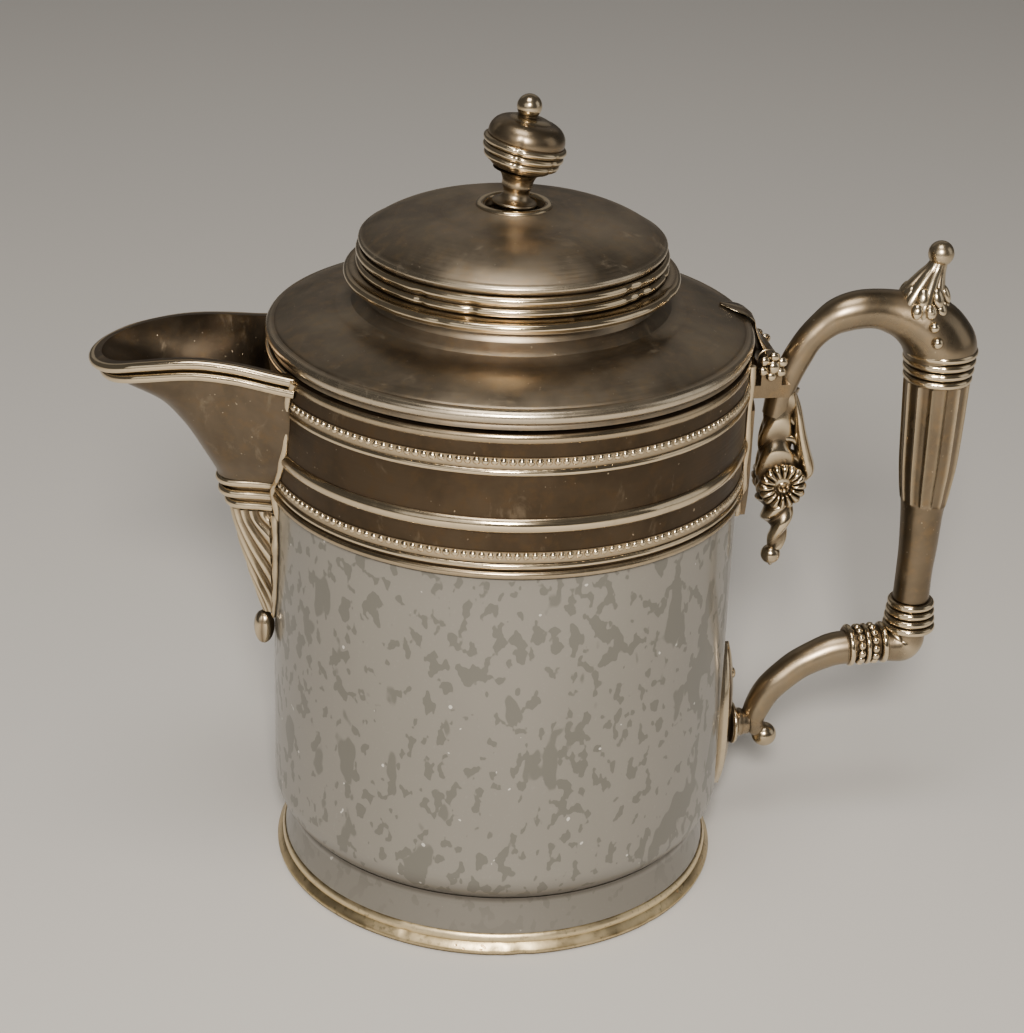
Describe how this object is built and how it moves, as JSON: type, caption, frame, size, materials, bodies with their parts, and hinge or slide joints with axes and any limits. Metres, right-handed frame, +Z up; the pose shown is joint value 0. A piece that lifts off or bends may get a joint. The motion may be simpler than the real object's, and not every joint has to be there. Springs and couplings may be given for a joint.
{
  "type": "covered cream jug",
  "caption": "Covered cream jug: mottled grey enamel body on a flared foot, metal neck band with an open beak spout, hinged domed cover with finial, scroll handle with fluted grip.",
  "frame": {"origin": "centre of the circle that the foot band rests on, on the body's axis", "axes": "+Z up along the body's axis, -X towards the spout, +X towards the handle and the cover's hinge, hinge axis along Y"},
  "size_m": [0.1592, 0.086, 0.1453],
  "materials": {
    "grey_enamel": "semi-gloss mottled grey vitreous enamel on sheet steel",
    "spun_metal": "tarnished silver-plated white metal, smooth",
    "worn_moulding": "silver-plated white metal, bright where worn",
    "cast_metal": "cast white metal, half tarnished",
    "foot_band_metal": "worn nickel-silver band with a brass edge",
    "fastener_metal": "dull brass wire and nut"
  },
  "bodies": {
    "root": {"arm_ball": "cast_metal", "arm_collar": "cast_metal", "arm_flange": "cast_metal", "enamel_body": "grey_enamel", "escutcheon": "cast_metal", "far_rosette": "cast_metal", "foot_band": "foot_band_metal", "foot_skirt": "grey_enamel", "grip": "cast_metal", "handle_mount_plate": "cast_metal", "handle_scroll": "cast_metal", "hinge_bracket": "cast_metal", "hinge_pin": "fastener_metal", "lower_arm": "cast_metal", "lower_bead_ring": "worn_moulding", "lower_elbow": "cast_metal", "lower_ferrule": "cast_metal", "lower_fillet": "worn_moulding", "lower_roll": "worn_moulding", "middle_moulding": "worn_moulding", "near_rosette": "cast_metal", "neck_band": "spun_metal", "rim_wire": "worn_moulding", "scroll_tail": "cast_metal", "spout_bud": "cast_metal", "spout_drop": "cast_metal", "spout_knop": "cast_metal", "spout_rim_reeds": "worn_moulding", "spout_shell": "spun_metal", "tail_ball": "cast_metal", "thumb_ball": "cast_metal", "thumb_leaf": "cast_metal", "upper_arm": "cast_metal", "upper_bead_ring": "worn_moulding", "upper_ferrule": "cast_metal", "upper_fillet": "worn_moulding"},
    "cover": {"cap_reed_ring": "spun_metal", "cover_cap": "spun_metal", "cover_collar": "spun_metal", "cover_shoulder": "spun_metal", "finial_knob": "spun_metal", "finial_nut": "fastener_metal", "finial_seat": "spun_metal", "finial_stud": "fastener_metal", "finial_tip": "spun_metal", "hinge_strap": "cast_metal"}
  },
  "joints": [
    {"name": "cover_hinge", "type": "hinge", "parent": "root", "child": "cover", "pos_m": [0.0464, 0, 0.097], "axis": [0, 1, 0], "range_deg": [0, 70]}
  ]
}
